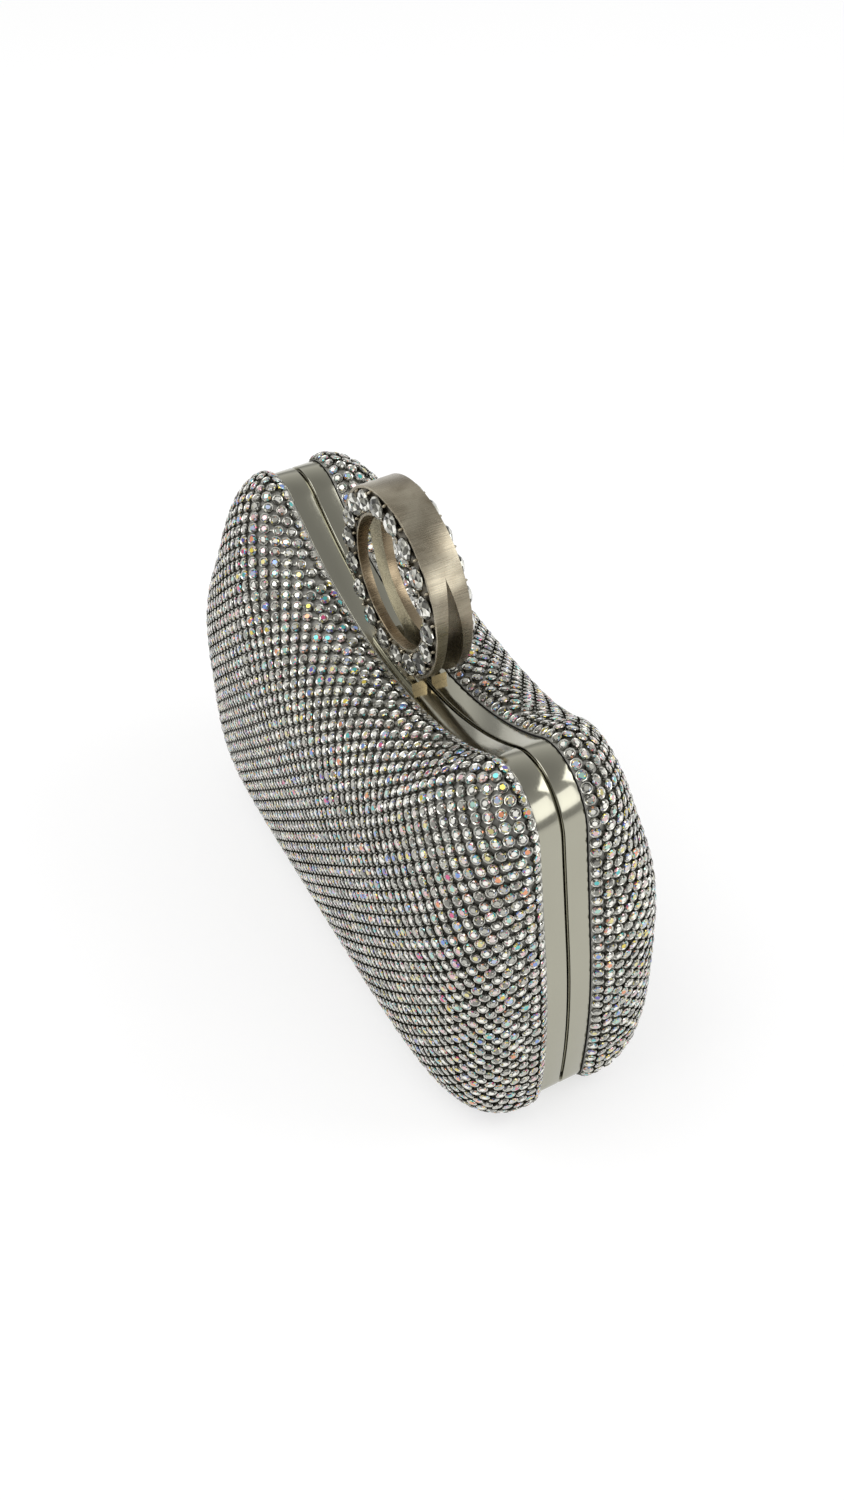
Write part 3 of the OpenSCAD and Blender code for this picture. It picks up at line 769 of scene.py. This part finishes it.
def lay_net():
    """The square net of cups, turned by 45 degrees and drawn over the dome.

    Gives the places of the cups in millimetres, the directions they face, the pairs that are
    linked, and the dome's surface.
    """
    around = 260
    rings, surface = lay_form(around)
    unrolled = unroll(rings)
    tree = KDTree(unrolled.shape[0] * around)
    for j in range(unrolled.shape[0]):
        for i in range(around):
            tree.insert((unrolled[j, i, 0], unrolled[j, i, 1], 0), j * around + i)
    tree.balance()

    half, reach, lost = PITCH / math.sqrt(2), 60, 4
    index, places = {}, []
    for i in range(-reach, reach + 1):
        for j in range(-reach, reach + 1):
            if (i + j) % 2:
                continue
            x, z = i * half, BASE_Z + CORE_H + j * half
            spot, number, gone = tree.find((x, z, 0))
            inside = number // around > 0 or gone < half
            if inside and gone < lost:
                index[i, j] = len(places)
                ring_point = rings[number // around, number % around]
                nudge = Vector((x - spot[0], 0, z - spot[1]))
                places.append(np.array(surface.find_nearest(Vector(ring_point) + nudge)[0]))
    links, braces = [], []
    for pairs, steps in ((links, ((1, 1), (1, -1))), (braces, ((2, 0), (0, 2)))):
        for (i, j), a in index.items():
            pairs += [(a, index[i + di, j + dj]) for di, dj in steps if (i + di, j + dj) in index]
    links, braces = np.array(links), np.array(braces)
    places, facing = draw_over(np.array(places), links, braces, surface)
    return places, facing, links, surface


def lay_border():
    """The row of crystals along the band, evenly spaced."""
    fine = 4000
    ring = dome(np.arange(fine) / fine, np.zeros(fine), 0.0)
    ring[:, 1] = STEP_Y + EDGE_IN
    steps = np.linalg.norm(np.roll(ring, -1, 0) - ring, axis=1)
    length = steps.sum()
    count = int(length / EDGE_PITCH)
    along = np.concatenate([[0], np.cumsum(steps)])[:-1]
    picks = np.searchsorted(along, np.arange(count) * length / count)
    return ring[np.minimum(picks, fine - 1)]


def even_out(places, fixed, surface):
    """Pushes the crystals that aren't fixed apart until they lie evenly between the others."""
    reach, share = 3.4, 0.12
    for _ in range(40):
        tree = KDTree(len(places))
        for k, place in enumerate(places):
            tree.insert(place, k)
        tree.balance()
        moved = places.copy()
        for k in np.flatnonzero(~fixed):
            push = Vector((0, 0, 0))
            for other, number, gone in tree.find_range(places[k], reach):
                if number != k:
                    push += (Vector(places[k]) - other) * ((reach - gone) / max(gone, 0.1))
            moved[k] = surface.find_nearest(Vector(places[k]) + push * share)[0]
        places = moved
    return places


def place_on(point, normal, turn):
    """The matrix that stands a small shape on a point, facing along the normal."""
    z = Vector(normal).normalized()
    x = Vector((0, 1, 0)).cross(z)
    x = Vector((1, 0, 0)) if x.length < 0.05 else x.normalized()
    y = z.cross(x)
    basis = Matrix((x, y, z)).transposed().to_4x4()
    return Matrix.Translation(Vector(point)) @ basis @ Matrix.Rotation(turn, 4, "Z")


def make_cup():
    """A cup of the net: a short turned wall round the stone's girdle, its rim in the light silver
    and its sides in the darker copy, painted shade.
    """
    bm = bmesh.new()
    corners = [(1.0, -1.2), (1.25, -0.95), (1.27, -0.15), (1.02, -0.3)]
    points = [bm.verts.new((r, 0, z)) for r, z in corners]
    edges = [bm.edges.new((points[k], points[(k + 1) % len(points)]))
             for k in range(len(points))]
    bmesh.ops.spin(bm, geom=points + edges, cent=(0, 0, 0), axis=(0, 0, 1), dvec=(0, 0, 0),
                   angle=math.tau, steps=9, use_merge=True)
    bmesh.ops.recalc_face_normals(bm, faces=bm.faces)
    bm.normal_update()
    for face in bm.faces:
        # Faces that point up take the light silver, the rest the darker copy, painted shade
        face.material_index = 0 if face.normal.z > 0.3 else 1
    return as_mesh(bm)


def make_link():
    """The bar between two cups, 1 mm long, lying along X from its middle."""
    bm = bmesh.new()
    bmesh.ops.create_cube(bm, size=1)
    bmesh.ops.scale(bm, verts=bm.verts, vec=(1, 0.4, 0.3))
    return as_mesh(bm)


def place_link(a, b, facing):
    """The matrix that stretches a bar between two cups, below their rims."""
    between = Vector(b - a)
    up = Vector(facing).normalized()
    along = between.normalized()
    y = up.cross(along).normalized()
    stretched = along * max(between.length - CUPS_IN_LINK, LINK_MIN)
    basis = Matrix((stretched, y, along.cross(y))).transposed().to_4x4()
    return Matrix.Translation(Vector(a + b) / 2 - up * LINK_DEPTH) @ basis


def share_colours(count, stone):
    """A share along the crystals' colours for each face of each stone.

    Tables are a painted highlight, bright to near white; the other facets take random greys,
    painted reflections from near black to near white. Facets may flash: few on half of the stones,
    most on a fifth of them.
    """
    faces = len(stone.polygons)
    table = np.array([face.normal.z > 0.99 for face in stone.polygons])
    values = np.zeros((count, faces))
    for k in range(count):
        mood, own = draw.uniform(0, 1), draw.uniform(0.62, 0.99)
        # Painted highlight on the tables, painted reflections and glints in random greys on the
        # other facets
        clear = np.where(table, draw.uniform(0.38, 0.62), draw.uniform(0.0, 0.54, faces))
        tinted = np.clip(own + draw.normal(0, 0.05, faces), 0.62, 0.999)
        wide = draw.uniform(0.62, 0.99, faces)
        chance = 0.12 if mood < 0.5 else 0.4 if mood < 0.8 else 0.7
        flashing = draw.uniform(0, 1, faces) < chance
        coloured = np.where(draw.uniform(0, 1, faces) < 0.5, tinted, wide)
        values[k] = np.where(flashing, coloured, clear)
    return values.ravel()


def dress_dome(body, shapes, stone_places, link_places):
    """Net, stones, cups and links of one dome, from the shapes of a stone, a cup and a link."""
    stone, cup, link = shapes
    stones, cups, bars = bmesh.new(), bmesh.new(), bmesh.new()
    repeat_shape(stones, stone, stone_places)
    repeat_shape(cups, cup, stone_places)
    repeat_shape(bars, link, link_places)
    # The lowest ones are flat against the table
    for bm in (stones, cups, bars):
        for v in bm.verts:
            v.co.z = max(v.co.z, 0.0)
    rows = [("dome", MESH_T, a, STEP_Y) for a in reversed(ANGLES)]
    rows += [("dome", NET_DEPTH if a else MESH_T - 0.1, a, STEP_Y) for a in ANGLES]
    make_layer(body + "_crystal_net", body, rows, net,
               [body + "_crystal_mesh"])
    piece = finish_piece(stones, body + "_crystals", body, [crystal],
                         sharp_deg=1, merge=False)
    set_flash(piece, share_colours(len(stone_places), stone))
    finish_piece(cups, body + "_crystal_cups", body, [cup_metal, shaded_cup_silver],
                 sharp_deg=50, merge=False)
    # The links between the cups take the darker silver: painted shade
    finish_piece(bars, body + "_crystal_links", body, [shaded_cup_silver], merge=False)


def make_crystals():
    """The crystals of both domes. The back is laid like the front."""
    places, facing, links, surface = lay_net()
    border = lay_border()
    near_border = KDTree(len(border))
    for k, place in enumerate(border):
        near_border.insert(place, k)
    near_border.balance()
    gone = np.array([near_border.find(p)[2] for p in places])
    kept = (places[:, 1] > STEP_Y + EDGE_IN) & (gone > EDGE_CLEAR)
    fixed = np.concatenate([gone[kept] > EDGE_BLEND, np.full(len(border), True)])
    spots = even_out(np.concatenate([places[kept], border]), fixed, surface)
    places[kept] = spots[:kept.sum()]
    normals = np.array([surface.find_nearest(Vector(p))[1] for p in spots])
    # The sheet's edge is rolled over towards the band, so its last row lies lower and leans there
    edge = slice(kept.sum(), None)
    spots[edge] -= normals[edge] * EDGE_DROP
    normals[edge] += np.array([0, -EDGE_LEAN, 0])
    link_places = [place_link(places[a], places[b], facing[a] + facing[b])
                   for a, b in links if kept[a] and kept[b]]
    stone = cut_stone([(1.02, -0.75, 8, 0), (1.02, -0.38, 8, 0), (0.84, -0.1, 8, 22.5),
                       (0.56, 0.05, 8, 0)])
    shapes = stone, make_cup(), make_link()
    for body in ("front", "back"):
        stone_places = []
        for spot, normal in zip(spots, normals):
            lean = Vector(normal) + Vector(draw.normal(0, TILT, 3))
            stone_places.append(place_on(spot, lean, draw.uniform(0, math.tau)))
        dress_dome(body, shapes, stone_places, link_places)


for half in ("back", "front"):
    make_frame(half)
    make_ring(half)
    make_foot(half)
    make_ring_stones(half)
    make_linings(half)
make_closing_strip()
make_crystals()

for node, material in {
    "back_shell": shell_abs, "front_shell": shell_abs, "back_hinge_leaves": hinge_steel,
    "front_hinge_leaves": hinge_steel, "hinge_pins": hinge_steel, "back_rivets": hinge_steel,
    "front_rivets": hinge_steel, "snap_stud": hinge_steel, "snap_spring": hinge_steel,
}.items():
    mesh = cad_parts[node].data
    mesh.materials.clear()
    mesh.materials.append(material)


# Camera, found from the photograph's outline of the frame, the ring and the parting gap

camera_at = Vector((244.32, -120.74, 334.9 + BASE_Z)) * MM
looks_at = Vector((-9.88, 7.48, 40 + BASE_Z)) * MM
roll = -0.03
focal_px, photo_height_px, film_mm = 1625.2, 1500, 36
ahead = (looks_at - camera_at).normalized()
right = ahead.cross(Vector((0, 0, 1))).normalized()
down = ahead.cross(right)
across = math.cos(roll) * right - math.sin(roll) * down
below = math.sin(roll) * right + math.cos(roll) * down
camera = link_object("camera", bpy.data.cameras.new("camera"))
camera.matrix_world = (Matrix.Translation(camera_at)
                       @ Matrix((across, -below, -ahead)).transposed().to_4x4())
camera.data.sensor_width = film_mm
camera.data.lens = focal_px / photo_height_px * film_mm
camera.data.clip_start = 0.01
bpy.context.scene.camera = camera


# Floor, world and lamps

def make_floor():
    """A plain white floor, white to the camera and in reflections, that keeps the shadow."""
    bm = bmesh.new()
    bmesh.ops.create_grid(bm, x_segments=1, y_segments=1, size=3)
    mesh = as_mesh(bm, "floor")
    material = bpy.data.materials.new("white_table")
    material.use_nodes = True
    tree = material.node_tree
    tree.nodes.clear()
    path = add(tree, "ShaderNodeLightPath")
    seen = add(tree, "ShaderNodeMath", {0: path.outputs["Is Camera Ray"],
                                        1: path.outputs["Is Glossy Ray"]}, operation="MAXIMUM")
    seen = add(tree, "ShaderNodeMath", {0: seen.outputs[0],
                                        1: path.outputs["Is Transmission Ray"]},
               operation="MAXIMUM")
    glow = add(tree, "ShaderNodeEmission", {"Color": (1, 1, 1, 1), "Strength": 0.6})
    table = add(tree, "ShaderNodeBsdfDiffuse", {"Color": (0.8, 0.8, 0.8, 1)})
    pale = add(tree, "ShaderNodeBsdfDiffuse", {"Color": (0.44, 0.44, 0.44, 1)})
    both = add(tree, "ShaderNodeAddShader", {0: glow.outputs[0], 1: pale.outputs[0]})
    choose = add(tree, "ShaderNodeMixShader", {0: seen.outputs[0], 1: table.outputs[0],
                                               2: both.outputs[0]})
    out = add(tree, "ShaderNodeOutputMaterial", {"Surface": choose.outputs[0]})
    tree.nodes.active = out
    mesh.materials.append(material)
    floor = link_object("floor", mesh)


def make_world():
    """A plain pale room, darker towards its ceiling and low on its walls, for the metal."""
    world = bpy.data.worlds.new("pale_room")
    bpy.context.scene.world = world
    world.use_nodes = True
    tree = world.node_tree
    tree.nodes.clear()
    direction = add(tree, "ShaderNodeTexCoord").outputs["Generated"]
    height = add(tree, "ShaderNodeSeparateXYZ", {"Vector": direction}).outputs["Z"]
    fade = add(tree, "ShaderNodeMapRange", {"Value": height, "From Min": 0.3, "From Max": 0.95,
                                            "To Min": 0.85, "To Max": 0.4})
    rise = add(tree, "ShaderNodeMapRange", {"Value": height, "From Min": 0.1, "From Max": 0.3,
                                            "To Min": 0.45, "To Max": 0.85})
    level = add(tree, "ShaderNodeMath", {0: fade.outputs["Result"], 1: rise.outputs["Result"]},
                operation="MINIMUM")
    room = add(tree, "ShaderNodeBackground", {"Color": (1, 1, 1, 1),
                                              "Strength": level.outputs[0]})
    add(tree, "ShaderNodeOutputWorld", {"Surface": room.outputs[0]})


def add_lamp(name, at, size, power):
    """A soft square lamp that faces the middle of the case. Metres and watts."""
    lamp = bpy.data.lights.new(name, "AREA")
    lamp.size = size
    lamp.energy = power
    holder = link_object(name, lamp)
    holder.location = at
    towards = Vector((0, 0, 0.05)) - Vector(at)
    holder.rotation_euler = towards.to_track_quat("-Z", "Y").to_euler()


make_floor()
make_world()
add_lamp("softbox_behind", at=(0.35, 0.75, 0.8), size=0.6, power=3)
add_lamp("softbox_above", at=(-0.2, -0.4, 0.9), size=0.7, power=4)
add_lamp("softbox_right", at=(0.85, 0.33, 0.5), size=0.5, power=1.3)
bpy.context.scene.view_settings.view_transform = "Standard"
